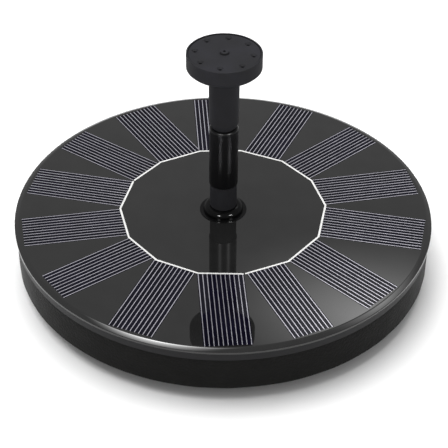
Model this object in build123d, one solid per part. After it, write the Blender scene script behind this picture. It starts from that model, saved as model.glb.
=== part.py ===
"""A floating solar fountain pump: a round solar panel on a foam ring, with a brushless pump hung
under its centre and a stack of spray pieces pushed on to the outlet above it.

Millimetres. The origin is the centre of the strainer's underside, which the pump stands on.
+Z is up, and -Y is the side that the panel's lead wires face away from.
"""

import math
import os

from build123d import *

# ---- Driving dimensions ------------------------------------------------------------------
# Heights of the stack, from the surface that the strainer stands on
foam_low = 5.6
foam_high = 19.6
tray_floor_high = 21.2
tray_rim_high = 22.4
face_lip_low = 22.7
face_top = 24.4

# The float and its panel
panel_radius = 80.0
face_edge_round = 1.2
rim_outer_radius = 79.6
rim_inner_radius = 77.4
board_radius = 77.2
foam_outer_radius = 79.5
foam_inner_radius = 48.0
foam_edge_round = 0.5
centre_hole_radius = 4.0
wire_hole_radius = 1.6
solder_radius = 1.3
solder_high = 0.8

# The solar cells and the tinned ribbons that join them. The cells were laid by hand, so the
# ring's corners and the way each cell points are uneven. Degrees run anticlockwise from +X.
ribbon_corner_deg = [4, 28.5, 53.5, 80, 104, 129.5, 153.5, 180.5, 207, 232, 257, 281.5, 307.5, 335]
ribbon_corner_radius = 39.7
ribbon_width = 0.72
ribbon_gap = 0.6
ribbon_gap_corners = [6, 11]
cell_point_deg = [11.5, 42, 66.5, 94, 121.5, 144.5, 168, 190.5, 216.5, 248, 274.5, 295, 316, 348.5]
cell_side_shift = [3.6, -0.4, 0.0, 0.0, -3.1, -1.4, -1.2, 1.7, 1.4, -3.4, -3.9, -0.8, 2.8, 0.3]
cell_line_count = [11, 10, 10, 10, 12, 10, 11, 11, 10, 11, 11, 10, 11, 12]
cell_line_pitch = 1.62
cell_side_margin = 0.5
cell_start_radius = 30.0
cell_end_radius = 77.0
cell_to_ribbon = 0.05
inlay_depth = 0.4
inlay_below_face = 0.02

# The pump body, which hangs from the tray by a flange
flange_radius = 40.0
flange_low = 18.0
pod_outer_radius = 34.0
pod_inner_radius = 32.4
partition_low = 8.6
partition_high = 10.0
screw_circle_radius = 37.3
screw_angles = [45, 135, 225, 315]
flange_hole_radius = 1.4
pilot_hole_radius = 1.2
screw_shank_radius = 1.15
screw_head_radius = 2.3
screw_head_low = 16.2
screw_tip = 21.0
screw_head_round = 0.8
screw_recess = (1.2, 0.3, 0.9)

# The pump's axis stands beside the outlet, so that the outlet can rise through the panel's centre
rotor_x = -16.0
rotor_y = 8.5
shaft_seat = 0.3
volute_radius = 11.0
volute_low = 4.6
boss_radius = 15.2
boss_low = 2.4
duct_half_width = 2.6
duct_low = 4.9
duct_high = 8.3
duct_wall = 1.6
spigot_radius = 3.8
spigot_bore_radius = 2.7
spigot_top = 34.4
well_inner_radius = 7.0
well_wall = 0.8
well_roof_low = 16.4
well_roof_high = 17.2
board_post_radius = 1.5
board_post_inset = 3.0
board_post_side = 9.0

# The bayonet cover under the impeller
cover_radius = 12.6
cover_low = 3.4
intake_radius = 4.4
lug_root_radius = 12.0
lug_radius = 14.0
lug_inset = 0.1
lug_span_deg = 14.0
cover_twist_deg = 22.0
bayonet_slack = 0.2
bayonet_slack_deg = 1.0
lug_angles = [30, 150, 270]
cover_hub_radius = 2.2
bush_radius = 1.5
spider_arm = (1.8, 5.0)
spider_arm_width = 1.4
turning_bar = (5.4, 10.4)
turning_bar_width = 1.6
turning_bar_drop = 0.9
seal_groove = (12.3, 11.3)
seal_groove_depth = 0.7
seal_radius = 11.8
seal_section_radius = 0.34

# The rotor
shaft_radius = 1.0
running_clearance = 0.05
impeller_radius = 9.6
impeller_low = 5.0
impeller_high = 8.2
shroud_thickness = 0.8
vane_count = 6
vane_thickness = 0.8
vane_arc_radius = 7.0
vane_root = 0.2
impeller_hub_radius = 2.6
magnet_radius = 6.3
magnet_low = 9.0
magnet_high = 15.7
rotor_core_radius = 3.0
rotor_top = 15.9
upper_washer_radius = 2.2
lower_washer_radius = 2.0
upper_washer_gap = 0.1
lower_washer_gap = 0.05

# The stator and the driver board in the dry chamber
stator_mid = 13.6
stator_height = 3.4
stator_outer_radius = 12.8
stator_yoke_inner_radius = 11.6
tooth_width = 2.4
tooth_start = 8.2
tooth_end = 12.0
shoe_inner_radius = 7.9
shoe_outer_radius = 8.5
shoe_span_deg = 52.0
tooth_angles = [45, 135, 225, 315]
bobbin_inner_radius = 8.6
bobbin_outer_radius = 11.1
bobbin_flange = 0.35
bobbin_width = 5.8
bobbin_height = 6.6
bobbin_core_width = 3.0
bobbin_core_height = 4.0
bobbin_fit = 0.1
coil_fit = 0.05
coil_width = 5.2
coil_height = 6.2
coil_round = 0.6
driver_low = 11.2
driver_high = 12.4
driver_x = (8.0, 26.0)
driver_y = (-12.0, 12.0)
hall_size = [(8.1, 9.5), (-1.5, 1.5), (12.0, 15.0)]
chip_x = (15.0, 19.0)
chip_y = (-2.5, 2.5)
chip_stand_off = 0.2
chip_thickness = 1.5
lead_pitch = 1.27
lead_half_width = 0.2
lead_high = 0.9
lead_long = 1.0
capacitor_radius = 2.5
capacitor_high = 4.6
capacitor_at = (22.5, -8.5)
diode_x = (20.0, 24.3)
diode_y = (7.2, 9.8)
diode_high = 2.2
small_edge = 0.4
wire_start = (12.0, 7.0)
wire_rise = 3.0
wire_bend_radius = 1.5
wire_radius = 0.7
wire_exit_x = 22.0
wire_exit_y = 3.0
potting_low = 17.4
potting_high = 18.9

# The strainer that snaps over the pod from below
strainer_radius = 36.0
strainer_inner_radius = 34.3
strainer_floor = 1.4
strainer_high = 10.5
strainer_edge_round = 1.2
slot_width = 1.6
side_slot_count = 36
side_slot_low = 2.2
side_slot_high = 7.4
side_slot_reach = (33.0, 38.0)
floor_slot_rings = [(8, 5.0, 12.0), (16, 14.0, 21.0), (28, 23.0, 30.5)]

# The spray pieces above the panel
collar_flange_radius = 9.0
collar_flange_high = 24.65
collar_flange_round = 0.15
collar_radius = 7.6
collar_high = 27.1
collar_round = 2.0
sleeve_low = 27.3
sleeve_high = 37.3
sleeve_radius = 5.15
sleeve_plug_radius = 4.1
sleeve_plug_high = 44.5
plug_lead_high = 0.6
plug_lead_in = 0.25
plug_wall = 1.65
stop_gap = 0.1
socket_clearance = 0.05
riser_low = 37.35
riser_high = 62.9
riser_radius = 5.45
riser_bore_radius = 3.1
riser_lip_round = 1.05
riser_foot_chamfer = 0.25
head_socket_low = 53.5
head_socket_radius = 4.35
head_plug_low = 54.5
neck_low = 63.7
neck_taper_high = 65.3
neck_tip_radius = 5.0
neck_radius = 5.55
neck_top_radius = 5.65
neck_groove_radius = 4.7
neck_groove_high = 1.3
cup_low = 87.8
cup_high = 94.3
cup_radius = 13.75
cup_wall = 0.6
cup_floor = 1.4
plate_ledge = 0.8
cup_low_chamfer = 0.8
cup_rim_round = 0.15
plate_low = 92.6
plate_high = 94.1
plate_gap = 0.12
plate_round = 0.3
jet_circle_radius = 10.6
jet_count = 8
jet_start_deg = -8.0
jet_radius = 0.6
jet_dimple_radius = 1.3
jet_dimple_depth = 0.6
centre_jet_radius = 0.5
centre_nub_radius = 1.65
centre_nub_high = 94.9
centre_nub_round = 0.3

rotor_at = (rotor_x, rotor_y)
cut = 0.5  # how far a cutting shape runs past the face it opens


# ---- Small helpers -----------------------------------------------------------------------
def disc(radius, low, high, at=(0, 0)):
    """A solid round from one height to another."""
    base = (Align.CENTER, Align.CENTER, Align.MIN)
    return Pos(at[0], at[1], low) * Cylinder(radius, high - low, align=base)


def ring(outer, inner, low, high, at=(0, 0)):
    """A round tube or washer."""
    return disc(outer, low, high, at) - disc(inner, low - cut, high + cut, at)


def block(x_span, y_span, z_span):
    """A box given by its lowest and highest place along each axis."""
    size = [high - low for low, high in (x_span, y_span, z_span)]
    corner = (Align.MIN, Align.MIN, Align.MIN)
    return Pos(x_span[0], y_span[0], z_span[0]) * Box(*size, align=corner)


def turned(outline, at=(0, 0)):
    """The solid that an outline of (radius, height) points makes when it is turned about the axis."""
    points = [(radius, 0, height) for radius, height in outline]
    profile = make_face(Polyline(*points, close=True))
    return Pos(at[0], at[1], 0) * revolve(profile, Axis.Z)


def around(angle, shape, at=(0, 0)):
    """A shape that is drawn along +X from the axis, turned to an angle."""
    return Pos(at[0], at[1], 0) * Rot(0, 0, angle) * shape


def on_circle(radius, angle):
    """The place at a radius and an angle in degrees."""
    turn = math.radians(angle)
    return (radius * math.cos(turn), radius * math.sin(turn))


def sector(outer, inner, low, high, start, span, at=(0, 0)):
    """Part of a ring, from a start angle over a span in degrees."""
    reach = outer * 2
    wedge = Polyline((0, 0), on_circle(reach, start), on_circle(reach, start + span), close=True)
    wedge = extrude(make_face(wedge), high - low)
    whole = ring(outer, inner, low, high)
    return Pos(at[0], at[1], 0) * (whole & (Pos(0, 0, low) * wedge))


def torus(major, minor, height, at=(0, 0)):
    """A round seal lying flat."""
    return Pos(at[0], at[1], height) * Torus(major, minor)


def edges_at(shape, height):
    """The edges of a shape that lie flat at a height."""
    return shape.edges().filter_by_position(Axis.Z, height - 0.001, height + 0.001)


def save(node, *pieces):
    """Writes one node: one piece, or a group of like pieces."""
    solids = [solid for piece in pieces for solid in piece.solids()]
    whole = solids[0] if len(solids) == 1 else Compound(children=solids)
    export_step(whole, f"parts/{node}.step")


# ---- The float ---------------------------------------------------------------------------
def foam_ring():
    """The closed-cell foam ring that keeps the panel afloat."""
    shape = ring(foam_outer_radius, foam_inner_radius, foam_low, foam_high)
    return fillet(edges_at(shape, foam_low), foam_edge_round)


def float_tray():
    """The moulded tray that holds the board, with a rim that shows as a band above the foam."""
    shape = disc(rim_outer_radius, foam_high, tray_rim_high)
    shape -= disc(rim_inner_radius, tray_floor_high, tray_rim_high + cut)
    shape -= disc(centre_hole_radius, foam_high - cut, tray_rim_high)
    for side in (-1, 1):
        shape -= disc(wire_hole_radius, foam_high - cut, tray_rim_high, (wire_exit_x, side * wire_exit_y))
    for angle in screw_angles:
        place = on_circle(screw_circle_radius, angle)
        shape -= disc(pilot_hole_radius, foam_high - cut, tray_rim_high, place)
    return shape


def panel_board():
    """The circuit board that backs the solar cells."""
    return ring(board_radius, centre_hole_radius, tray_floor_high, tray_rim_high)


def solder_joints():
    """The blobs that join the lead wires to the board's underside."""
    places = [(wire_exit_x, side * wire_exit_y) for side in (-1, 1)]
    low = tray_floor_high - solder_high
    return [disc(solder_radius, low, tray_floor_high, place) for place in places]


def ribbon_outline(grow):
    """The uneven ring that the ribbons follow, grown or shrunk sideways."""
    corners = [on_circle(ribbon_corner_radius, angle) for angle in ribbon_corner_deg]
    outline = make_face(Polyline(*corners, close=True))
    return offset(outline, grow, kind=Kind.INTERSECTION)


def inlay_span(extra=0.0):
    """The heights of what is let into the panel's face."""
    return face_top - inlay_below_face - inlay_depth, face_top - inlay_below_face + extra


def bus_ribbons(extra=0.0, gaps=True):
    """The two tinned ribbons, end to end round the middle."""
    low, high = inlay_span(extra)
    band = ribbon_outline(ribbon_width / 2) - ribbon_outline(-ribbon_width / 2)
    shape = Pos(0, 0, low) * extrude(band, high - low)
    if gaps:
        for corner in ribbon_gap_corners:
            x_span = (ribbon_corner_radius - 3, ribbon_corner_radius + 3)
            slit = block(x_span, (-ribbon_gap / 2, ribbon_gap / 2), (low - cut, high + cut))
            shape -= around(ribbon_corner_deg[corner], slit)
    return shape


def solar_cell(index, extra=0.0):
    """One strip of cell, from the ribbon out towards the rim."""
    low, high = inlay_span(extra)
    width = (cell_line_count[index] - 1) * cell_line_pitch + 2 * cell_side_margin
    shift = cell_side_shift[index]
    strip = block((cell_start_radius, cell_end_radius), (shift - width / 2, shift + width / 2), (low, high))
    middle = extrude(ribbon_outline(ribbon_width / 2 + cell_to_ribbon), high - low + 2 * cut)
    return around(cell_point_deg[index], strip) - Pos(0, 0, low - cut) * middle


def solar_cells(extra=0.0):
    """All the strips of cell."""
    return [solar_cell(index, extra) for index in range(len(cell_point_deg))]


def panel_face():
    """The black resin face with its rounded lip, and a pocket under each strip and ribbon."""
    shape = disc(panel_radius, face_lip_low, face_top)
    shape = fillet(edges_at(shape, face_top), face_edge_round)
    shape += disc(board_radius, tray_rim_high, face_lip_low)
    shape -= disc(centre_hole_radius, tray_rim_high - cut, face_top + cut)
    shape -= bus_ribbons(extra=cut, gaps=False)
    for cell in solar_cells(extra=cut):
        shape -= cell
    return shape


# ---- The pump ----------------------------------------------------------------------------
def pump_body():
    """The moulded pod: flange, dry chamber, rotor well, volute, outlet duct and spigot."""
    shape = disc(pod_outer_radius, partition_low, foam_high)
    shape += disc(flange_radius, flange_low, foam_high)
    shape -= disc(pod_inner_radius, partition_high, foam_high + cut)
    shape += disc(boss_radius, boss_low, partition_high, rotor_at)
    duct_outer = duct_half_width + duct_wall
    shape += block((rotor_x, 0), (-duct_outer, duct_outer), (duct_low - duct_wall, partition_high))
    shape += disc(duct_outer, duct_low - duct_wall, partition_high)
    shape += disc(spigot_radius, partition_low, spigot_top)
    shape += disc(well_inner_radius + well_wall, partition_low, well_roof_high, rotor_at)
    for side in (-1, 1):
        place = (driver_x[1] - board_post_inset, side * board_post_side)
        shape += disc(board_post_radius, partition_high - cut, driver_low, place)
    shape -= disc(cover_radius + bayonet_slack, boss_low - cut, volute_low, rotor_at)
    shape -= disc(volute_radius, boss_low, partition_low, rotor_at)
    shape -= disc(well_inner_radius, boss_low, well_roof_low, rotor_at)
    shape -= disc(shaft_radius, boss_low, well_roof_high - shaft_seat, rotor_at)
    duct_y = (-duct_half_width, duct_half_width)
    shape -= block((rotor_x, 0), duct_y, (duct_low, duct_high))
    shape -= disc(duct_half_width, duct_low, duct_high)
    shape -= disc(spigot_bore_radius, duct_low, spigot_top + cut)
    for angle in screw_angles:
        place = on_circle(screw_circle_radius, angle)
        shape -= disc(flange_hole_radius, flange_low - cut, foam_high + cut, place)
    return shape - bayonet_pockets()


def bayonet_pockets():
    """The tracks that the cover's lugs turn in, each open below at its far end."""
    low = cover_low + lug_inset - bayonet_slack
    high = volute_low - lug_inset + bayonet_slack
    outer = lug_radius + bayonet_slack
    pockets = []
    for angle in lug_angles:
        start = angle - lug_span_deg / 2 - bayonet_slack_deg
        lug_span = lug_span_deg + 2 * bayonet_slack_deg
        track = sector(outer, lug_root_radius, low, high, start, lug_span + cover_twist_deg, rotor_at)
        entry_start = start + cover_twist_deg
        entry = sector(outer, lug_root_radius, boss_low - cut, high, entry_start, lug_span, rotor_at)
        pockets.append(track + entry)
    return pockets


def volute_cover():
    """The round cover under the impeller: intake, spider, lugs and a bar to turn it by."""
    shape = disc(cover_radius, cover_low, volute_low, rotor_at)
    shape -= disc(intake_radius, cover_low - cut, volute_low + cut, rotor_at)
    for angle in lug_angles:
        half = spider_arm_width / 2
        arm = block(spider_arm, (-half, half), (cover_low, volute_low))
        shape += around(angle, arm, rotor_at)
        start = angle - lug_span_deg / 2
        low, high = cover_low + lug_inset, volute_low - lug_inset
        shape += sector(lug_radius, lug_root_radius, low, high, start, lug_span_deg, rotor_at)
    shape += disc(cover_hub_radius, cover_low, volute_low, rotor_at)
    shape -= disc(bush_radius, cover_low - cut, volute_low + cut, rotor_at)
    for turn in (0, 180):
        half = turning_bar_width / 2
        heights = (cover_low - turning_bar_drop, cover_low + lug_inset)
        bar = block(turning_bar, (-half, half), heights)
        shape += around(turn, bar, rotor_at)
    return shape - ring(*seal_groove, volute_low - seal_groove_depth, volute_low + cut, rotor_at)


def cover_seal():
    """The seal in the cover's groove."""
    return torus(seal_radius, seal_section_radius, volute_low - seal_groove_depth / 2, rotor_at)


def impeller():
    """The open impeller, with the core that carries the magnet."""
    shape = disc(impeller_radius, impeller_high - shroud_thickness, impeller_high, rotor_at)
    shape += disc(impeller_hub_radius, impeller_low, impeller_high, rotor_at)
    for index in range(vane_count):
        bend = ring(vane_arc_radius, vane_arc_radius - vane_thickness, impeller_low, impeller_high)
        bend = Pos(vane_arc_radius - vane_root, 0, 0) * bend
        half = block((0, 20), (-20, 0), (impeller_low, impeller_high))
        vane = bend & half & disc(impeller_radius, impeller_low, impeller_high)
        shape += around(index * 360 / vane_count, vane, rotor_at)
    shape += disc(magnet_radius, impeller_high, magnet_low, rotor_at)
    shape += disc(rotor_core_radius, magnet_low, rotor_top, rotor_at)
    bore = shaft_radius + running_clearance
    return shape - disc(bore, impeller_low - cut, rotor_top + cut, rotor_at)


def rotor_magnet():
    """The ring magnet round the impeller's core."""
    return ring(magnet_radius, rotor_core_radius, magnet_low, magnet_high, rotor_at)


def thrust_washers():
    """The washers that the rotor runs against, above and below."""
    bore = shaft_radius + running_clearance
    upper = ring(upper_washer_radius, bore, rotor_top, well_roof_low - upper_washer_gap, rotor_at)
    lower = ring(lower_washer_radius, bore, volute_low + lower_washer_gap, impeller_low, rotor_at)
    return [upper, lower]


def rotor_shaft():
    """The fixed ceramic shaft, pressed into the well's roof."""
    return disc(shaft_radius, cover_low + shaft_seat, well_roof_high - shaft_seat, rotor_at)


def lower_bush():
    """The bush in the cover's spider that steadies the shaft's free end."""
    return ring(bush_radius, shaft_radius + running_clearance, cover_low, volute_low, rotor_at)


def stator_core():
    """The stack of steel laminations: a yoke with four teeth that end in shoes."""
    low = stator_mid - stator_height / 2
    high = stator_mid + stator_height / 2
    shape = ring(stator_outer_radius, stator_yoke_inner_radius, low, high, rotor_at)
    half_tooth = tooth_width / 2
    for angle in tooth_angles:
        tooth = block((tooth_start, tooth_end), (-half_tooth, half_tooth), (low, high))
        shape += around(angle, tooth, rotor_at)
        start = angle - shoe_span_deg / 2
        shape += sector(shoe_outer_radius, shoe_inner_radius, low, high, start, shoe_span_deg, rotor_at)
    return shape


def centred(radial, width, height):
    """A block on +X, centred sideways and on the stator's middle height."""
    heights = (stator_mid - height / 2, stator_mid + height / 2)
    return block(radial, (-width / 2, width / 2), heights)


def coil_bobbins():
    """The plastic spool on each tooth."""
    inner, outer = bobbin_inner_radius, bobbin_outer_radius
    spool = centred((inner, outer), bobbin_core_width, bobbin_core_height)
    spool += centred((inner, inner + bobbin_flange), bobbin_width, bobbin_height)
    spool += centred((outer - bobbin_flange, outer), bobbin_width, bobbin_height)
    spool -= centred((inner - cut, outer + cut), tooth_width + bobbin_fit, stator_height + bobbin_fit)
    return [around(angle, spool, rotor_at) for angle in tooth_angles]


def stator_coils():
    """The enamelled copper winding on each spool."""
    inner = bobbin_inner_radius + bobbin_flange + coil_fit
    outer = bobbin_outer_radius - bobbin_flange - coil_fit
    coil = centred((inner, outer), coil_width, coil_height)
    coil = fillet(coil.edges().filter_by(Axis.X), coil_round)
    core = (bobbin_core_width + bobbin_fit, bobbin_core_height + bobbin_fit)
    coil -= centred((inner - cut, outer + cut), *core)
    return [around(angle, coil, rotor_at) for angle in tooth_angles]


def hall_sensor():
    """The sensor beside the well that reads the magnet's place."""
    return around(0, block(*hall_size), rotor_at)


def driver_board():
    """The small board that switches the coils."""
    return block(driver_x, driver_y, (driver_low, driver_high))


def driver_chip():
    """The driver's moulded chip."""
    low = driver_high + chip_stand_off
    return block(chip_x, chip_y, (low, low + chip_thickness))


def chip_leads():
    """The chip's legs, four on each long side."""
    legs = []
    for side in (-1, 1):
        for index in range(4):
            y = (index - 1.5) * lead_pitch
            edge = chip_x[0] if side < 0 else chip_x[1]
            foot_x = sorted((edge, edge + side * lead_long))
            foot_y = (y - lead_half_width, y + lead_half_width)
            legs.append(block(foot_x, foot_y, (driver_high, driver_high + lead_high)))
    return legs


def smoothing_capacitor():
    """The round electrolytic capacitor."""
    top = driver_high + capacitor_high
    can = disc(capacitor_radius, driver_high, top, capacitor_at)
    return fillet(edges_at(can, top), small_edge)


def reverse_diode():
    """The diode that guards against a crossed panel."""
    top = driver_high + diode_high
    body = block(diode_x, diode_y, (driver_high, top))
    return chamfer(edges_at(body, top), small_edge)


def lead_wire(side):
    """One insulated wire from the driver board up to the panel board."""
    start = (wire_start[0], side * wire_start[1])
    bend_high = driver_high + wire_rise
    points = [
        (start[0], start[1], driver_high),
        (start[0], start[1], bend_high),
        (wire_exit_x, side * wire_exit_y, bend_high),
        (wire_exit_x, side * wire_exit_y, tray_floor_high - solder_high),
    ]
    path = FilletPolyline(*points, radius=wire_bend_radius)
    section = Plane(origin=points[0], z_dir=(0, 0, 1)) * Circle(wire_radius)
    return sweep(section, path=path)


def potting_layer():
    """The poured resin that seals the dry chamber."""
    shape = ring(pod_inner_radius, spigot_radius, potting_low, potting_high)
    for side in (-1, 1):
        place = (wire_exit_x, side * wire_exit_y)
        shape -= disc(wire_radius, potting_low - cut, potting_high + cut, place)
    return shape


def flange_screws():
    """The four pan-head screws that hold the pump to the tray."""
    head = disc(screw_head_radius, screw_head_low, flange_low)
    head = fillet(edges_at(head, screw_head_low), screw_head_round)
    reach, half, depth = screw_recess
    for turn in (0, 90):
        heights = (screw_head_low - cut, screw_head_low + depth)
        recess = block((-reach, reach), (-half, half), heights)
        head -= around(turn, recess)
    shank = disc(screw_shank_radius, flange_low, screw_tip)
    screw = head + chamfer(edges_at(shank, screw_tip), small_edge)
    return [Pos(*on_circle(screw_circle_radius, angle)) * screw for angle in screw_angles]


def strainer_cover():
    """The slotted cup that keeps leaves out of the pump."""
    shape = disc(strainer_radius, 0, strainer_high)
    shape = fillet(edges_at(shape, 0), strainer_edge_round)
    shape -= disc(strainer_inner_radius, strainer_floor, strainer_high + cut)
    half = slot_width / 2
    side_slot = block(side_slot_reach, (-half, half), (side_slot_low, side_slot_high))
    for index in range(side_slot_count):
        shape -= around(index * 360 / side_slot_count, side_slot)
    for count, inner, outer in floor_slot_rings:
        floor_slot = block((inner, outer), (-half, half), (-cut, strainer_floor + cut))
        for index in range(count):
            shape -= around(index * 360 / count, floor_slot)
    return shape


# ---- The spray pieces --------------------------------------------------------------------
def collar_ring():
    """The glossy rubber ring that seals the spigot where it leaves the panel."""
    shape = disc(collar_radius, face_top, collar_high)
    shape = fillet(edges_at(shape, collar_high), collar_round)
    flange = disc(collar_flange_radius, face_top, collar_flange_high)
    shape += fillet(edges_at(flange, collar_flange_high), collar_flange_round)
    return shape - disc(spigot_radius + stop_gap, face_top - cut, collar_high + cut)


def nozzle_sleeve():
    """The matte adapter that turns on the spigot and carries the riser."""
    socket = spigot_radius + socket_clearance
    shape = turned(
        [
            (socket, sleeve_low),
            (sleeve_radius, sleeve_low),
            (sleeve_radius, sleeve_high),
            (sleeve_plug_radius, sleeve_high),
            (sleeve_plug_radius, sleeve_plug_high - plug_lead_high),
            (sleeve_plug_radius - plug_lead_in, sleeve_plug_high),
            (spigot_bore_radius, sleeve_plug_high),
            (spigot_bore_radius, spigot_top + stop_gap),
            (socket, spigot_top + stop_gap),
        ]
    )
    return shape


def riser_tube():
    """The glossy tube, with a rounded shoulder at its top."""
    lower_socket = sleeve_plug_radius + socket_clearance
    shape = disc(riser_radius, riser_low, riser_high)
    shape = fillet(edges_at(shape, riser_high), riser_lip_round)
    shape -= disc(riser_bore_radius, riser_low - cut, riser_high + cut)
    shape -= disc(lower_socket, riser_low - cut, sleeve_plug_high + stop_gap)
    shape -= disc(head_socket_radius, head_socket_low, riser_high + cut)
    return chamfer(edges_at(shape, riser_low).sort_by(SortBy.LENGTH)[-1], riser_foot_chamfer)


def spray_head_body():
    """The neck and the shallow cup of the spray head, in one moulding."""
    plug = head_socket_radius - socket_clearance
    bore = plug - plug_wall
    return turned(
        [
            (bore, head_plug_low),
            (plug - plug_lead_in, head_plug_low),
            (plug, head_plug_low + plug_lead_high),
            (plug, neck_low),
            (neck_tip_radius, neck_low),
            (neck_radius, neck_taper_high),
            (neck_top_radius, cup_low - neck_groove_high),
            (neck_groove_radius, cup_low - neck_groove_high),
            (neck_groove_radius, cup_low),
            (cup_radius - cup_low_chamfer, cup_low),
            (cup_radius, cup_low + cup_low_chamfer),
            (cup_radius, cup_high - cup_rim_round),
            (cup_radius - cup_rim_round, cup_high),
            (cup_radius - cup_wall, cup_high),
            (cup_radius - cup_wall, plate_low),
            (cup_radius - cup_wall - plate_ledge, plate_low),
            (cup_radius - cup_wall - plate_ledge, cup_low + cup_floor),
            (bore, cup_low + cup_floor),
        ]
    )


def jet_hole(hole_radius, dimple_radius, dimple_depth, at):
    """One jet: a fine hole at the bottom of a round dimple."""
    hole = disc(hole_radius, plate_low - cut, plate_high + cut, at)
    outline = [
        (0, plate_high - dimple_depth),
        (hole_radius, plate_high - dimple_depth),
        (dimple_radius, plate_high + 0.01),
        (0, plate_high + 0.01),
    ]
    return hole + turned(outline, at)


def spray_plate():
    """The lid of the spray head, with a ring of jets and one in the middle."""
    shape = disc(cup_radius - cup_wall - plate_gap, plate_low, plate_high)
    shape = fillet(edges_at(shape, plate_high), plate_round)
    nub = disc(centre_nub_radius, plate_low, centre_nub_high)
    shape += fillet(edges_at(nub, centre_nub_high), centre_nub_round)
    shape -= disc(centre_jet_radius, plate_low - cut, centre_nub_high + cut)
    for index in range(jet_count):
        place = on_circle(jet_circle_radius, jet_start_deg + index * 360 / jet_count)
        shape -= jet_hole(jet_radius, jet_dimple_radius, jet_dimple_depth, place)
    return shape


# ---- The files ---------------------------------------------------------------------------
os.makedirs("parts", exist_ok=True)
save("foam_ring", foam_ring())
save("float_tray", float_tray())
save("panel_board", panel_board())
save("solder_joints", *solder_joints())
save("panel_face", panel_face())
save("solar_cells", *solar_cells())
save("bus_ribbons", bus_ribbons())
save("pump_body", pump_body())
save("volute_cover", volute_cover())
save("cover_seal", cover_seal())
save("impeller", impeller())
save("rotor_magnet", rotor_magnet())
save("thrust_washers", *thrust_washers())
save("rotor_shaft", rotor_shaft())
save("lower_bush", lower_bush())
save("stator_core", stator_core())
save("coil_bobbins", *coil_bobbins())
save("stator_coils", *stator_coils())
save("hall_sensor", hall_sensor())
save("driver_board", driver_board())
save("driver_chip", driver_chip())
save("chip_leads", *chip_leads())
save("smoothing_capacitor", smoothing_capacitor())
save("reverse_diode", reverse_diode())
save("lead_wire_red", lead_wire(1))
save("lead_wire_black", lead_wire(-1))
save("potting_layer", potting_layer())
save("flange_screws", *flange_screws())
save("strainer_cover", strainer_cover())
save("collar_ring", collar_ring())
save("nozzle_sleeve", nozzle_sleeve())
save("riser_tube", riser_tube())
save("spray_head_body", spray_head_body())
save("spray_plate", spray_plate())
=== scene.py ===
# %% [markdown]
# # A floating solar fountain pump
#
# The CAD model comes in as a fixed frame: every part is already there at its real size. This
# lesson gives each part its finish, pours the panel's resin face again with a smoother lip, prints
# the silver lines on the solar cells and cuts the foam ring. It ends with a plain studio.

# %% Load the frame
import math

import bmesh
import bpy
from mathutils import Matrix, Vector, noise


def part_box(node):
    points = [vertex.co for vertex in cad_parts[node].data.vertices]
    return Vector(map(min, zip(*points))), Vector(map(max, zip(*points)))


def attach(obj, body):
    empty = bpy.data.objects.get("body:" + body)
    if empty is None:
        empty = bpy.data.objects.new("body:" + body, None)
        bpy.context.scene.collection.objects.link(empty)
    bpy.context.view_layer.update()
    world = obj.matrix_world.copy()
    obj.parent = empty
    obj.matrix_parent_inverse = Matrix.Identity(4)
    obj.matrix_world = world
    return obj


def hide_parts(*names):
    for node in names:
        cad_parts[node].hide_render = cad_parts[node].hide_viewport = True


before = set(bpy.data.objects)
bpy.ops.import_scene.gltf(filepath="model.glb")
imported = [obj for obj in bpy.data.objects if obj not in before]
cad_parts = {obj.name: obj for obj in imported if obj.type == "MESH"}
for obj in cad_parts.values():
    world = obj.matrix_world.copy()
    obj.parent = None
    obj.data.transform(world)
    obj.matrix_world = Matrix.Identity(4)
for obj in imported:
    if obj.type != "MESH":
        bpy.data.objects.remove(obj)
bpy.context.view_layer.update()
MM = 0.001
print("nodes:", len(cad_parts))

# %% [markdown]
# ## The camera
#
# The object is seen from the front and about two fifths of the way up to overhead, through a
# long lens. A long lens keeps the round panel's ellipse almost symmetric. The camera is aimed by
# its own axes, so that a slight roll can be added at the end.

# %% Camera
FACE_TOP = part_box("panel_face")[1].z
CAMERA_DISTANCE = 545 * MM
CAMERA_ELEVATION = math.radians(37.45)
CAMERA_ROLL = math.radians(0.5)
LENS_MM = 113.5
SENSOR_MM = 36
AIM = Vector((0.36 * MM, 0, FACE_TOP - 7.48 * MM))

camera_data = bpy.data.cameras.new("camera")
camera_data.lens = LENS_MM
camera_data.sensor_width = SENSOR_MM
camera = bpy.data.objects.new("camera", camera_data)
bpy.context.scene.collection.objects.link(camera)
reach = CAMERA_DISTANCE * math.cos(CAMERA_ELEVATION)
rise = CAMERA_DISTANCE * math.sin(CAMERA_ELEVATION)
place = Vector((0, -reach, FACE_TOP + rise))
aimed = (AIM - place).to_track_quat("-Z", "Y").to_matrix().to_4x4()
camera.matrix_world = Matrix.Translation(place) @ aimed @ Matrix.Rotation(CAMERA_ROLL, 4, "Z")
bpy.context.scene.camera = camera
print("camera at", [round(value, 3) for value in place])

# %% [markdown]
# ## Helpers for materials
#
# Colours are written as the hex values that a colour picker shows, and one function turns them
# to the linear values that the renderer works in. One more function adds a node: what it is given
# for an input is either a value, which is set, or another node's output, which is linked.


# %% Material helpers
BLEND_START = 0.3
BLEND_END = 0.7


def linear(hex_colour):
    """Turns an sRGB hex colour into linear red, green, blue and an alpha of 1."""
    parts = [int(hex_colour[i : i + 2], 16) / 255 for i in (1, 3, 5)]
    return tuple(c / 12.92 if c <= 0.04045 else ((c + 0.055) / 1.055) ** 2.4 for c in parts) + (1.0,)


def add(tree, kind, inputs=None, **settings):
    """Adds a node, applies its settings, and sets or links its inputs."""
    made = tree.nodes.new(kind)
    for name, value in settings.items():
        setattr(made, name, value)
    for name, value in (inputs or {}).items():
        if isinstance(value, bpy.types.NodeSocket):
            tree.links.new(value, made.inputs[name])
        else:
            made.inputs[name].default_value = value
    return made


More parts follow.
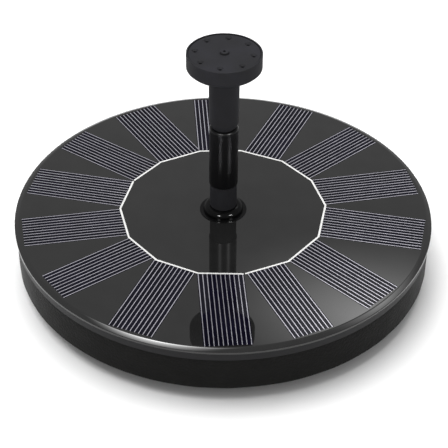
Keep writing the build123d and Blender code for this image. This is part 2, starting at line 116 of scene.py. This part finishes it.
def surface(name, inputs):
    """A new material with one Principled shader. Returns the material, its tree and the shader."""
    material = bpy.data.materials.new(name)
    material.use_nodes = True
    tree = material.node_tree
    tree.nodes.clear()
    shader = add(tree, "ShaderNodeBsdfPrincipled", inputs)
    add(tree, "ShaderNodeOutputMaterial", {"Surface": shader.outputs["BSDF"]})
    return material, tree, shader


def grain(tree, size_mm, detail=4.0, kind="ShaderNodeTexNoise"):
    """A noise on the piece's own coordinates, whose lumps are about size_mm across."""
    place = add(tree, "ShaderNodeTexCoord").outputs["Object"]
    return add(tree, kind, {"Vector": place, "Scale": 1 / (size_mm * MM), "Detail": detail})


def between(tree, factor, low, high):
    """Maps a 0 to 1 value to a range."""
    made = add(tree, "ShaderNodeMapRange", {"Value": factor, "To Min": low, "To Max": high})
    return made.outputs["Result"]


def blend_colours(tree, factor, first, second):
    """Blends two hex colours by a value."""
    ramp = add(tree, "ShaderNodeValToRGB", {"Fac": factor})
    ramp.color_ramp.elements[0].color = linear(first)
    ramp.color_ramp.elements[1].color = linear(second)
    ramp.color_ramp.elements[0].position = BLEND_START
    ramp.color_ramp.elements[1].position = BLEND_END
    return ramp.outputs["Color"]


def relief(tree, shader, height, depth_mm, strength=1.0):
    """Raises the surface by a height map, with its real depth."""
    bump = add(tree, "ShaderNodeBump", {"Height": height, "Distance": depth_mm * MM, "Strength": strength})
    tree.links.new(bump.outputs["Normal"], shader.inputs["Normal"])


def moulded(name, dark, light, rough, grain_mm, depth_mm, mottle_mm=9.0, fixed=None):
    """A moulded, poured or ground surface: mottled colour, uneven roughness and a fine relief."""
    material, tree, shader = surface(name, fixed)
    mottle = grain(tree, mottle_mm).outputs["Fac"]
    tree.links.new(blend_colours(tree, mottle, dark, light), shader.inputs["Base Color"])
    tree.links.new(between(tree, mottle, rough[0], rough[1]), shader.inputs["Roughness"])
    relief(tree, shader, grain(tree, grain_mm).outputs["Fac"], depth_mm)
    return material


print("white is", linear("#ffffff"))

# %% [markdown]
# ## The panel's face
#
# The face is clear resin poured over a black backing. Resin levels itself, so it is almost a
# mirror, and only a long, shallow wave is left in it. The backing underneath is plain dark grey.
# A clear coat over a satin base gives both at once, with no glass to look through.

# %% Black resin, poured
RESIN_COAT = {"Coat Weight": 1.0, "Coat Roughness": 0.02, "Coat IOR": 1.5, "Specular IOR Level": 0.0}
black_resin = moulded(
    "black_resin_poured",
    "#171717",
    "#1b1b1b",
    (0.5, 0.56),
    grain_mm=26,
    depth_mm=0.01,
    fixed=RESIN_COAT,
)
print(black_resin.name)

# %% [markdown]
# ## Solar cells
#
# The strips are sawn silicon with a blue-black antireflection layer. It shifts a little in hue
# from place to place, where the layer is thicker or thinner. They lie under the same resin, but
# the layer takes back much of what the resin would mirror, so their coat is a weaker one.

# %% Silicon cell, coated blue-black
CELL_COAT = {**RESIN_COAT, "Coat Weight": 0.3}
silicon_cell = moulded(
    "silicon_cell_under_resin",
    "#07070f",
    "#0c0b18",
    (0.34, 0.46),
    grain_mm=30,
    depth_mm=0.005,
    mottle_mm=14,
    fixed=CELL_COAT,
)
print(silicon_cell.name)

# %% [markdown]
# ## Tinned ribbon and silver paste
#
# The ribbons are flat copper wire dipped in tin, which sets bright and slightly uneven. The lines
# are printed silver paste, fired to a pale metal. Both mirror their surroundings, so they dim
# where the riser stands in front of the light. Under a clear layer metal looks paler and flatter
# than it does bare, so both are only part metallic.

# %% Tin and silver
tinned_ribbon = moulded(
    "tinned_copper_ribbon",
    "#eeeeec",
    "#fbfbf9",
    (0.26, 0.4),
    grain_mm=0.8,
    depth_mm=0.03,
    mottle_mm=2.5,
    fixed={"Metallic": 0.5, **RESIN_COAT},
)
silver_paste = moulded(
    "silver_paste_fired",
    "#bcbac2",
    "#d0ced8",
    (0.14, 0.22),
    grain_mm=0.5,
    depth_mm=0.01,
    mottle_mm=6,
    fixed={"Metallic": 0.72, **RESIN_COAT},
)
print(tinned_ribbon.name, silver_paste.name)

# %% [markdown]
# ## Moulded plastics
#
# Three finishes of black plastic show from above. The tray's rim is satin ABS, the head and sleeve
# are polypropylene from a spark-eroded mould, which is matt with a sandy grain, and the riser is
# ABS from a polished mould. The pump and its strainer are plainer ABS. The grain is drawn coarser
# than the real 0.1 mm, so that it shows at all.

# %% ABS and polypropylene
SATIN = {"IOR": 1.52, "Specular IOR Level": 0.15}
MATT = {"IOR": 1.49, "Specular IOR Level": 0.08}
tray_abs = moulded(
    "abs_satin_moulded", "#0f0f11", "#131315", (0.36, 0.46), 0.7, 0.012, fixed=SATIN
)
matt_pp = moulded(
    "polypropylene_spark_eroded", "#242426", "#29292d", (0.6, 0.72), 0.35, 0.03, fixed=MATT
)
riser_abs = moulded(
    "abs_polished_moulded",
    "#0a0a0b",
    "#0d0d0e",
    (0.3, 0.34),
    9.0,
    0.001,
    fixed={"IOR": 1.54, "Specular IOR Level": 0.12},
)
pump_abs = moulded(
    "abs_black_moulded", "#1a1a1c", "#202023", (0.38, 0.5), 0.6, 0.015, fixed={"IOR": 1.52}
)
strainer_abs = moulded(
    "abs_fine_texture_moulded", "#1c1c1e", "#232326", (0.5, 0.62), 0.4, 0.03, fixed={"IOR": 1.52}
)
print("plastics:", [m.name for m in (tray_abs, matt_pp, riser_abs, pump_abs, strainer_abs)])

# %% [markdown]
# ## Rubber
#
# The collar is soft rubber from a polished mould, so it is black and wet-looking. The seal under
# the pump's cover is the same rubber, dull from grease.

# %% Rubber
collar_rubber = moulded(
    "nitrile_rubber_polished",
    "#0a0a0a",
    "#0e0e0f",
    (0.1, 0.16),
    4.0,
    0.006,
    fixed={"IOR": 1.52, "Specular IOR Level": 0.09},
)
seal_rubber = moulded("nitrile_rubber_greased", "#101010", "#181818", (0.4, 0.6), 0.4, 0.01)
print(collar_rubber.name, seal_rubber.name)

# %% [markdown]
# ## Metals, ceramic and the motor's parts
#
# These are hidden when the pump is whole, and are seen when the strainer and cover come off or
# the object is opened. Metals keep the default index of refraction.

# %% Motor and driver materials
METAL = {"Metallic": 1.0}
inner = {
    "stainless": moulded(
        "stainless_steel_turned", "#a9aaac", "#c2c3c5", (0.22, 0.34), 0.5, 0.006, fixed=METAL
    ),
    "steel": moulded(
        "silicon_steel_stamped", "#6c6f74", "#83868b", (0.35, 0.5), 0.35, 0.02, fixed=METAL
    ),
    "solder": moulded(
        "tin_solder_bright", "#b4b5b6", "#cfcfcf", (0.2, 0.34), 0.5, 0.01, fixed=METAL
    ),
    "copper": moulded(
        "copper_wire_enamelled", "#9c5026", "#b9652f", (0.25, 0.38), 0.25, 0.06, fixed=METAL
    ),
    "ferrite": moulded("ferrite_sintered", "#2b2c2e", "#38393c", (0.4, 0.6), 0.5, 0.02),
    "ceramic": moulded(
        "alumina_ground", "#dedbd0", "#ece9df", (0.18, 0.3), 0.4, 0.004, fixed={"IOR": 1.76}
    ),
    "acetal": moulded(
        "acetal_white_moulded", "#d3d3cf", "#dededa", (0.35, 0.45), 0.6, 0.01, fixed={"IOR": 1.48}
    ),
    "nylon": moulded(
        "nylon_natural_moulded", "#c9c5b6", "#d6d2c4", (0.4, 0.5), 0.6, 0.01, fixed={"IOR": 1.53}
    ),
    "board": moulded(
        "glass_epoxy_solder_mask", "#0e3a22", "#14482b", (0.28, 0.4), 0.9, 0.02, fixed={"IOR": 1.55}
    ),
    "chip": moulded("chip_epoxy_moulded", "#18181a", "#222224", (0.5, 0.65), 0.3, 0.01),
    "sleeve": moulded("pvc_shrink_sleeve", "#121a33", "#18213f", (0.22, 0.34), 1.5, 0.01),
    "red": moulded("pvc_insulation_red", "#8e1512", "#a31d19", (0.35, 0.5), 0.8, 0.01),
    "black": moulded("pvc_insulation_black", "#121212", "#1b1b1b", (0.35, 0.5), 0.8, 0.01),
    "potting": moulded(
        "potting_resin_poured", "#0d0d0e", "#131314", (0.08, 0.16), 8.0, 0.05, fixed={"IOR": 1.5}
    ),
}
print(len(inner), "materials for the inside")

# %% [markdown]
# ## Which part takes which finish
#
# Every CAD part is one node, and a node has one finish. The foam ring is left out here, because a
# new piece takes its place further down.

# %% Give every CAD part its finish
finishes = {
    "panel_face": black_resin,
    "solar_cells": silicon_cell,
    "bus_ribbons": tinned_ribbon,
    "float_tray": tray_abs,
    "collar_ring": collar_rubber,
    "nozzle_sleeve": matt_pp,
    "riser_tube": riser_abs,
    "spray_head_body": matt_pp,
    "spray_plate": matt_pp,
    "pump_body": pump_abs,
    "volute_cover": pump_abs,
    "strainer_cover": strainer_abs,
    "cover_seal": seal_rubber,
    "flange_screws": inner["stainless"],
    "stator_core": inner["steel"],
    "solder_joints": inner["solder"],
    "chip_leads": inner["solder"],
    "stator_coils": inner["copper"],
    "rotor_magnet": inner["ferrite"],
    "rotor_shaft": inner["ceramic"],
    "thrust_washers": inner["ceramic"],
    "lower_bush": inner["ceramic"],
    "impeller": inner["acetal"],
    "coil_bobbins": inner["nylon"],
    "panel_board": inner["board"],
    "driver_board": inner["board"],
    "driver_chip": inner["chip"],
    "hall_sensor": inner["chip"],
    "reverse_diode": inner["chip"],
    "smoothing_capacitor": inner["sleeve"],
    "lead_wire_red": inner["red"],
    "lead_wire_black": inner["black"],
    "potting_layer": inner["potting"],
}
for node_name, material in finishes.items():
    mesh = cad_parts[node_name].data
    mesh.materials.clear()
    mesh.materials.append(material)
print("without a finish yet:", sorted(set(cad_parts) - set(finishes)))

# %% [markdown]
# ## Helpers for new pieces
#
# Each new piece is shaped in a bmesh and then written to a mesh object that sits at the origin,
# with its place in its vertices, as the CAD parts have.
#
# Two more helpers draw round pieces. One spins an outline about the upright axis. The other rounds
# an outline's corners: it finds the circle that touches both sides of a corner, and steps along
# the arc between the two touches.


# %% Piece helpers
SHARP = math.radians(35)


def make_piece(name, shape, material, body, smooth=True):
    """Turns a bmesh into an object that rides on a body and takes a slot's finish."""
    bmesh.ops.recalc_face_normals(shape, faces=shape.faces)
    for edge in shape.edges:
        edge.smooth = edge.calc_face_angle(0) < SHARP
    mesh = bpy.data.meshes.new(name)
    shape.to_mesh(mesh)
    shape.free()
    for polygon in mesh.polygons:
        polygon.use_smooth = smooth
    mesh.materials.append(material)
    piece = bpy.data.objects.new(name, mesh)
    bpy.context.scene.collection.objects.link(piece)
    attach(piece, body)
    print(name, "faces", len(mesh.polygons), "size mm", [round(side / MM, 2) for side in piece.dimensions])
    return piece


def spun(outline, steps):
    """The closed shell that a closed outline of (radius, height) points makes about the Z axis."""
    shape = bmesh.new()
    points = [shape.verts.new((radius, 0, height)) for radius, height in outline]
    edges = [shape.edges.new((a, b)) for a, b in zip(points, points[1:] + points[:1])]
    turn = {"axis": (0, 0, 1), "cent": (0, 0, 0), "angle": math.tau, "steps": steps}
    bmesh.ops.spin(shape, geom=points + edges, use_merge=True, use_duplicate=False, **turn)
    return shape


def rounded(corners, steps=6):
    """An outline whose corners, given as (radius, height, rounding), are worked out as arcs."""
    outline = []
    for index, (x, z, size) in enumerate(corners):
        here = Vector((x, z))
        if size == 0:
            outline.append((x, z))
            continue
        before = Vector(corners[index - 1][:2]) - here
        after = Vector(corners[(index + 1) % len(corners)][:2]) - here
        before.normalize()
        after.normalize()
        half = before.angle(after) / 2
        middle = here + (before + after).normalized() * (size / math.sin(half))
        start = here + before * (size / math.tan(half)) - middle
        end = here + after * (size / math.tan(half)) - middle
        sweep = start.angle_signed(end)
        for step in range(steps + 1):
            spoke = start.copy()
            spoke.rotate(Matrix.Rotation(-sweep * step / steps, 2))
            outline.append(tuple(middle + spoke))
    return outline


print("edges bend sharp above", round(math.degrees(SHARP)), "degrees")

# %% [markdown]
# ## The resin face
#
# Poured resin stops at the rim and sags towards it, so its edge is a low slope with a rounded
# shoulder and not a quarter circle. That slope draws the long highlight round the front of the
# panel, and it has to be very smooth, so the face is spun here in fine steps. Its flat part lies a
# hair under the tops of the cells and ribbons, which therefore show as if they were in the resin.

# %% Resin face
face_low, face_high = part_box("panel_face")
FACE_RADIUS = 80 * MM
BOARD_RADIUS = 77.2 * MM
FACE_HOLE = 4 * MM
LIP_LOW = 22.7 * MM
LIP_WIDTH = 1.8 * MM
LIP_DROP = 0.7 * MM
SHOULDER_ROUND = 2.4 * MM
LIP_ROUND = 0.25 * MM
LIP_LOW_ROUND = 0.15 * MM
SUNK = 0.03 * MM
FACE_STEPS = 360
flat_top = face_high.z - SUNK
outline = rounded(
    [
        (FACE_HOLE, flat_top, 0),
        (FACE_RADIUS - LIP_WIDTH, flat_top, SHOULDER_ROUND),
        (FACE_RADIUS, flat_top - LIP_DROP, LIP_ROUND),
        (FACE_RADIUS, LIP_LOW, LIP_LOW_ROUND),
        (BOARD_RADIUS, LIP_LOW, 0),
        (BOARD_RADIUS, face_low.z, 0),
        (FACE_HOLE, face_low.z, 0),
    ],
    steps=8,
)
resin_face = make_piece("resin_face", spun(outline, FACE_STEPS), black_resin, "root")
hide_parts("panel_face")

# %% [markdown]
# ## Silver lines on the cells
#
# Each strip of cell has ten to twelve silver lines printed along it, from the ribbon to its outer
# end. They could be drawn by a material, but real lines keep their edges at any distance. Each
# strip's own outline gives its direction and length: its outer end is the edge farthest from the
# axis, and every line runs square to that edge until it meets the strip's inner outline.

# %% Silver lines
LINE_PITCH = 1.62 * MM
LINE_WIDTH = 0.27 * MM
LINE_THICKNESS = 0.05 * MM
CELL_MARGIN = 0.5 * MM
WELD = 0.001 * MM
NEAR_TOP = 0.01 * MM
STRAIGHT = 0.01
TINY = 1e-6


def crossing(start, direction, a, b):
    """How far along a line from start the segment from a to b is met, or None."""
    side = b - a
    across = direction.x * side.y - direction.y * side.x
    if abs(across) < TINY * TINY:
        return None
    gap = a - start
    along = (gap.x * side.y - gap.y * side.x) / across
    share = (gap.x * direction.y - gap.y * direction.x) / across
    return along if -TINY <= share <= 1 + TINY and along > CELL_MARGIN / 5 else None


def cell_outlines():
    """The top outline of each strip of cell, as lists of edges between flat points."""
    cells = bmesh.new()
    cells.from_mesh(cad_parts["solar_cells"].data)
    bmesh.ops.remove_doubles(cells, verts=cells.verts, dist=WELD)
    bmesh.ops.dissolve_limit(cells, angle_limit=STRAIGHT, verts=cells.verts, edges=cells.edges)
    top = max(vertex.co.z for vertex in cells.verts)
    outlines = []
    for face in cells.faces:
        if face.normal.z > 0.9 and face.calc_center_median().z > top - NEAR_TOP:
            outlines.append([(e.verts[0].co.xy.copy(), e.verts[1].co.xy.copy()) for e in face.edges])
    cells.free()
    return outlines, top


lines = bmesh.new()
outlines, cell_top = cell_outlines()
for outline in outlines:
    a, b = max(outline, key=lambda edge: (edge[0] + edge[1]).length)
    across = (b - a).normalized()
    inward = Vector((-across.y, across.x))
    if inward.dot(a) > 0:
        inward.negate()
    count = round(((b - a).length - 2 * CELL_MARGIN) / LINE_PITCH) + 1
    for index in range(count):
        start = a + across * (CELL_MARGIN + index * LINE_PITCH)
        hits = [crossing(start, inward, p, q) for p, q in outline]
        length = max(hit for hit in hits if hit is not None)
        middle = start + inward * (length / 2)
        spot = Matrix.Translation((middle.x, middle.y, cell_top))
        turn = Matrix.Rotation(math.atan2(inward.y, inward.x), 4, "Z")
        stretch = Matrix.Diagonal((length, LINE_WIDTH, LINE_THICKNESS, 1))
        bmesh.ops.create_cube(lines, size=1, matrix=spot @ turn @ stretch)
print("strips", len(outlines), "lines", len(lines.faces) // 6)
make_piece("cell_lines", lines, silver_paste, "root", smooth=False)

# %% [markdown]
# ## The foam float
#
# The ring is cut from a sheet of closed-cell foam and glued under the tray. Sliced cells pit
# its surface. They are too fine for geometry, so their relief is in the material, and so is a
# painted shade that darkens each pit towards its deepest middle, mixed with a random cloud of
# darker and lighter tone. A faint sheen stands for the light that the torn cell walls scatter at a
# low angle.

# %% Foam material
PORE_MM = 0.9
PORE_DEPTH_MM = 0.12
CLOUD_MM = 5.0
FOAM_FINISH = {
    "Roughness": 0.95,
    "Specular IOR Level": 0.2,
    "Sheen Weight": 0.12,
    "Sheen Roughness": 0.35,
}
foam_eva, tree, shader = surface("eva_foam_skived", FOAM_FINISH)
place = add(tree, "ShaderNodeTexCoord").outputs["Object"]
pores = add(tree, "ShaderNodeTexVoronoi", {"Vector": place, "Scale": 1 / (PORE_MM * MM)})
cloud = grain(tree, CLOUD_MM).outputs["Fac"]
# Painted shade in the pores: darker at each pore's middle, where its relief is deepest, times a random
# cloud of tone.
pore_shade_and_mottle = add(
    tree, "ShaderNodeMath", {0: pores.outputs["Distance"], 1: cloud}, operation="MULTIPLY"
).outputs["Value"]
tree.links.new(blend_colours(tree, pore_shade_and_mottle, "#0d0d0c", "#161615"), shader.inputs["Base Color"])
relief(tree, shader, pores.outputs["Distance"], PORE_DEPTH_MM, strength=0.7)
print(foam_eva.name)

# %% [markdown]
# ## The foam ring's shape
#
# A knife leaves the foam's side slightly wavy and its lower edge soft. The CAD ring is a perfect
# solid, so it is replaced: an outline with rounded corners is spun, then every vertex below the
# glued top is moved by a small smooth noise, across and up. The ring is kept in from the CAD ring's
# walls by as much as the noise can move it.

# %% Foam ring
foam_low, foam_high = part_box("foam_ring")
FOAM_INSET = 0.15 * MM
FOAM_OUTER = foam_high.x - FOAM_INSET
FOAM_INNER = 48 * MM + FOAM_INSET
FOAM_WAVE = 0.12 * MM
SIDE_WAVE_LENGTH = 7 * MM
RISE_WAVE_LENGTH = 11 * MM
INNER_LOW_ROUND = 0.8 * MM
OUTER_LOW_ROUND = 0.7 * MM
TOP_ROUND = 0.3 * MM
GLUED = 0.5 * MM
FOAM_STEPS = 300
SIDE_ROWS = 8
low, high = foam_low.z, foam_high.z
rows = [low + (high - low) * row / SIDE_ROWS for row in range(1, SIDE_ROWS)]
outline = rounded(
    [
        (FOAM_INNER, low + FOAM_WAVE, INNER_LOW_ROUND),
        (FOAM_OUTER, low + FOAM_WAVE, OUTER_LOW_ROUND),
        *[(FOAM_OUTER, z, 0) for z in rows],
        (FOAM_OUTER, high, TOP_ROUND),
        (FOAM_INNER, high, TOP_ROUND),
    ]
)
foam = spun(outline, FOAM_STEPS)
for vertex in foam.verts:
    if vertex.co.z < high - GLUED:
        away = Vector((vertex.co.x, vertex.co.y, 0)).normalized()
        vertex.co += away * (noise.noise(vertex.co / SIDE_WAVE_LENGTH) * FOAM_WAVE)
        vertex.co.z += noise.noise(vertex.co / RISE_WAVE_LENGTH) * FOAM_WAVE * 0.5
foam_float = make_piece("foam_float", foam, foam_eva, "root")
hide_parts("foam_ring")

# %% [markdown]
# ## The studio floor
#
# The floor is a plain pale sheet, far wider than the object, and it isn't part of it.

# %% Floor
FLOOR_SIZE = 6.0
floor_shape = bmesh.new()
bmesh.ops.create_grid(floor_shape, x_segments=1, y_segments=1, size=FLOOR_SIZE / 2)
floor_mesh = bpy.data.meshes.new("floor")
floor_shape.to_mesh(floor_mesh)
floor_shape.free()
floor = bpy.data.objects.new("floor", floor_mesh)
bpy.context.scene.collection.objects.link(floor)
floor_paint, tree, shader = surface(
    "floor_paint", {"Base Color": linear("#f4f4f4"), "Roughness": 0.9, "Specular IOR Level": 0.1}
)
floor_mesh.materials.append(floor_paint)
print("floor", FLOOR_SIZE, "m")

# %% [markdown]
# ## Lights
#
# A large soft wash comes from overhead, a little to the left, and leaves no reflection of its own.
# Two small soft boxes stand in front, left and right. They only make highlights, the pairs of
# spots on the riser and the collar, and flags keep them off the face and the foam. The world is a
# plain grey.


# %% Lights
def soft_box(name, spot, size, watts, mirrored=True, fills=True):
    """A rectangular light at a spot, facing the panel. Shiny parts show it if it is mirrored, and
    matt ones are lit by it if it fills."""
    data = bpy.data.lights.new(name, "AREA")
    data.shape = "RECTANGLE"
    data.size, data.size_y = size
    data.energy = watts
    light = bpy.data.objects.new(name, data)
    bpy.context.scene.collection.objects.link(light)
    facing = (Vector((0, 0, FACE_TOP)) - Vector(spot)).to_track_quat("-Z", "Y")
    light.matrix_world = Matrix.Translation(spot) @ facing.to_matrix().to_4x4()
    light.visible_glossy = mirrored
    light.visible_diffuse = fills
    return light


def flag(light, pieces, state):
    """Keep a light off some pieces ("EXCLUDE") or off everything else ("INCLUDE")."""
    flagged = bpy.data.collections.new(light.name + "_flagged")
    for piece in pieces:
        flagged.objects.link(piece)
    for entry in flagged.collection_objects:
        entry.light_linking.link_state = state
    light.light_linking.receiver_collection = flagged


def seen_at(azimuth, elevation, distance):
    """A spot around the panel: azimuth is measured from the front towards the right."""
    turn, lift = math.radians(azimuth), math.radians(elevation)
    flat = distance * math.cos(lift)
    return (flat * math.sin(turn), -flat * math.cos(turn), distance * math.sin(lift))


soft_box("overhead", (-0.25, 0.25, 1.45), (1.7, 1.3), 31.5, mirrored=False)
front_left = soft_box("front_left", seen_at(-24, 36, 1.3), (0.24, 0.28), 24.0, fills=False)
front_right = soft_box("front_right", seen_at(46, 36, 1.3), (0.3, 0.28), 24.0, fills=False)
for light in (front_left, front_right):
    flag(light, [resin_face, foam_float], "EXCLUDE")

world = bpy.data.worlds.new("studio")
world.use_nodes = True
backdrop = world.node_tree.nodes["Background"]
backdrop.inputs["Color"].default_value = linear("#ffffff")
backdrop.inputs["Strength"].default_value = 0.53
bpy.context.scene.world = world
bpy.context.scene.view_settings.view_transform = "Standard"

# %% [markdown]
# ## White cards
#
# What the shiny face mirrors is three white cards, whose brightness fades to their edges. One
# stands behind on the right and glows in the flat of the face. One hangs high on the left and
# draws the long highlight along the front lip. The last, on the right, carries the glow over the
# lip. The two lip cards are flagged off everything but the face.


# %% White cards
def white_card(name, spot, reach, brightness):
    """A glowing card at a spot, facing the panel, that fades to nothing at its reach in x and y."""
    shape = bmesh.new()
    bmesh.ops.create_grid(shape, x_segments=1, y_segments=1, size=0.5)
    mesh = bpy.data.meshes.new(name)
    shape.to_mesh(mesh)
    shape.free()
    card = bpy.data.objects.new(name, mesh)
    bpy.context.scene.collection.objects.link(card)
    facing = (Vector((0, 0, FACE_TOP)) - Vector(spot)).to_track_quat("Z", "Y")
    card.matrix_world = Matrix.Translation(spot) @ facing.to_matrix().to_4x4()
    card.visible_diffuse = False
    glow = bpy.data.materials.new(name + "_glow")
    glow.use_nodes = True
    tree = glow.node_tree
    tree.nodes.clear()
    place = add(tree, "ShaderNodeTexCoord").outputs["Object"]
    scale = (1 / reach[0], 1 / reach[1], 1.0)
    spread = add(tree, "ShaderNodeMapping", {"Vector": place, "Scale": scale}).outputs["Vector"]
    fade = add(tree, "ShaderNodeTexGradient", {"Vector": spread}, gradient_type="QUADRATIC_SPHERE")
    power = between(tree, fade.outputs["Fac"], 0.0, brightness)
    light_out = add(tree, "ShaderNodeEmission", {"Strength": power}).outputs["Emission"]
    clear = add(tree, "ShaderNodeBsdfTransparent").outputs["BSDF"]
    both = add(tree, "ShaderNodeAddShader", {0: light_out, 1: clear}).outputs["Shader"]
    add(tree, "ShaderNodeOutputMaterial", {"Surface": both})
    mesh.materials.append(glow)
    return card


white_card("back_card", seen_at(166.9, 44.5, 1.6), (0.32, 0.165), 4.6)
lip_card = white_card("lip_card", seen_at(-134, 73.5, 1.5), (0.46, 0.46), 38.0)
side_card = white_card("side_card", seen_at(125, 52, 1.5), (0.6, 0.45), 5.0)
for card in (lip_card, side_card):
    flag(card, [resin_face], "INCLUDE")
print("cards:", lip_card.name, side_card.name, "and one behind")
